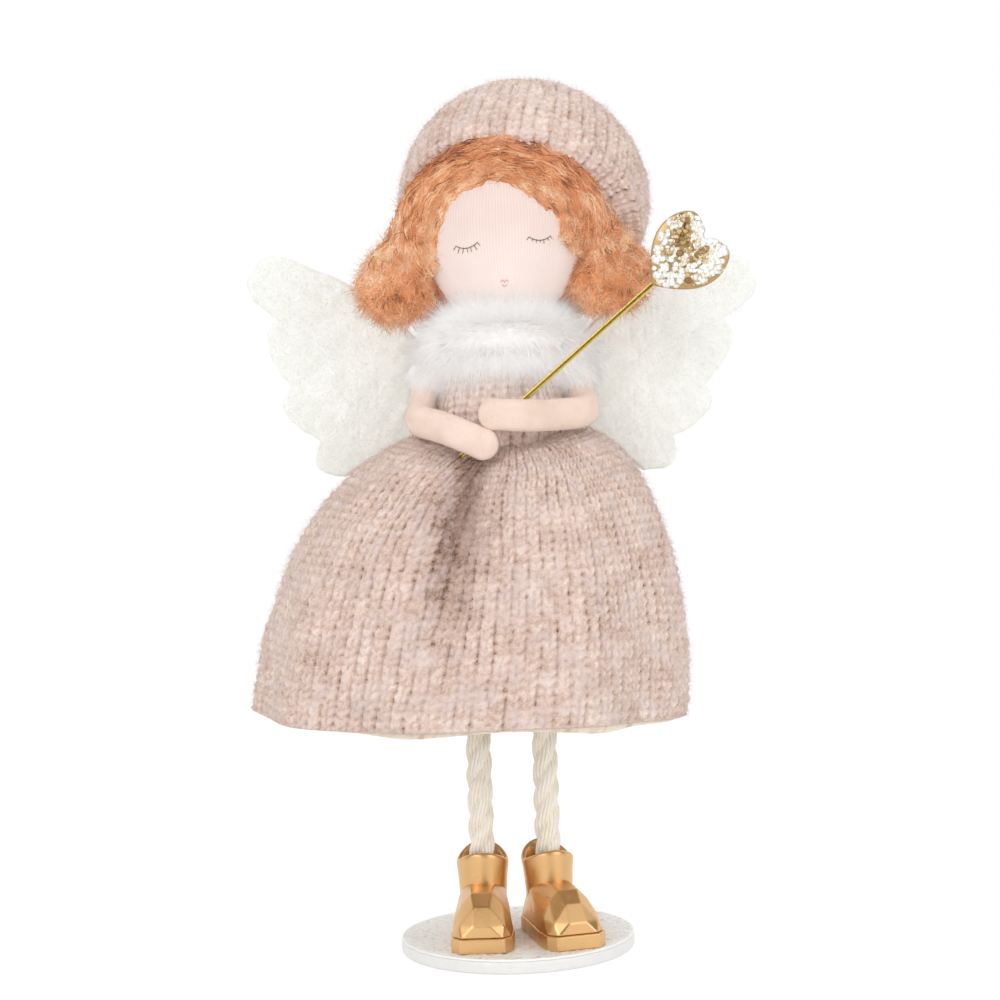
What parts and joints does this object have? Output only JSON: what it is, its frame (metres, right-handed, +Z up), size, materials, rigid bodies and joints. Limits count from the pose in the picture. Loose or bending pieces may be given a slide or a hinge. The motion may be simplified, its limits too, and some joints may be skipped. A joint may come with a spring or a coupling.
{
  "type": "knitted fairy doll",
  "caption": "Standing fairy doll with a knitted bell skirt and beret, curly yarn hair, plush wings and a heart wand, on rope legs and boots fixed to a round base.",
  "frame": {"origin": "middle of the base's underside", "axes": "+Z up; the doll faces -Y, so its own left side is +X"},
  "size_m": [0.1489, 0.1044, 0.2436],
  "materials": {
    "white_paint": "smooth white satin paint",
    "pearl_paper": "pearly white, fine pebbled emboss",
    "gold_paint": "warm gold metallic paint, semi-gloss",
    "steel": "plain drawn",
    "cotton_rope": "natural cream three-strand cotton",
    "bare_wood": "sanded, unfinished",
    "pink_knit": "fuzzy dusty-pink stocking stitch",
    "cream_felt": "plain wool felt",
    "white_fur": "long soft faux fur",
    "white_plush": "short curly pile",
    "foam": "white foam and wadding",
    "jersey": "pale skin-tone jersey, fine vertical rib",
    "ginger_yarn": "curly ginger yarn",
    "peach_felt": "smooth peach felt",
    "brass_wire": "bright",
    "gold_glitter": "coarse gold glitter flakes"
  },
  "bodies": {
    "body": {"base_disc": "white_paint", "base_sheet": "pearl_paper", "left_boot": "gold_paint", "right_boot": "gold_paint", "left_leg_rod": "steel", "right_leg_rod": "steel", "left_leg_cord": "cotton_rope", "right_leg_cord": "cotton_rope", "torso_core": "bare_wood", "neck_dowel": "bare_wood", "bodice": "pink_knit", "skirt": "pink_knit", "skirt_lining": "cream_felt", "fur_collar": "white_fur"},
    "head": {"head_core": "foam", "head_cover": "jersey", "hair_fringe": "ginger_yarn", "hair_left": "ginger_yarn", "hair_right": "ginger_yarn", "hair_back": "ginger_yarn", "beret": "pink_knit", "beret_filling": "foam"},
    "left_arm": {"left_arm": "peach_felt"},
    "right_arm": {"right_arm": "peach_felt"},
    "left_wing": {"left_wing": "white_plush", "left_wing_backing": "cream_felt"},
    "right_wing": {"right_wing": "white_plush", "right_wing_backing": "cream_felt"},
    "wand": {"wand_stem": "brass_wire", "wand_heart": "gold_glitter"}
  },
  "joints": [
    {"name": "head_turn", "type": "hinge", "parent": "body", "child": "head", "pos_m": [0.0025, 0, 0.18], "axis": [0, 0, 1], "range_deg": [-15, 15]},
    {"name": "left_arm_swing", "type": "hinge", "parent": "body", "child": "left_arm", "pos_m": [0.0228, -0.001, 0.16], "axis": [0, 0, 1], "range_deg": [0, 40]},
    {"name": "right_arm_swing", "type": "hinge", "parent": "body", "child": "right_arm", "pos_m": [-0.0208, -0.001, 0.16], "axis": [0, 0, -1], "range_deg": [0, 40]},
    {"name": "left_wing_flap", "type": "hinge", "parent": "body", "child": "left_wing", "pos_m": [0.0022, 0.0168, 0.151], "axis": [0, 0, 1], "range_deg": [-6, 20], "stiffness_Nm_per_rad": 0.004},
    {"name": "right_wing_flap", "type": "hinge", "parent": "body", "child": "right_wing", "pos_m": [-0.0002, 0.0168, 0.151], "axis": [0, 0, -1], "range_deg": [-6, 20], "stiffness_Nm_per_rad": 0.004},
    {"name": "wand_slide", "type": "slide", "parent": "body", "child": "wand", "axis": [0.7657, -0.0976, 0.6357], "range_m": [0, 0.05]}
  ]
}
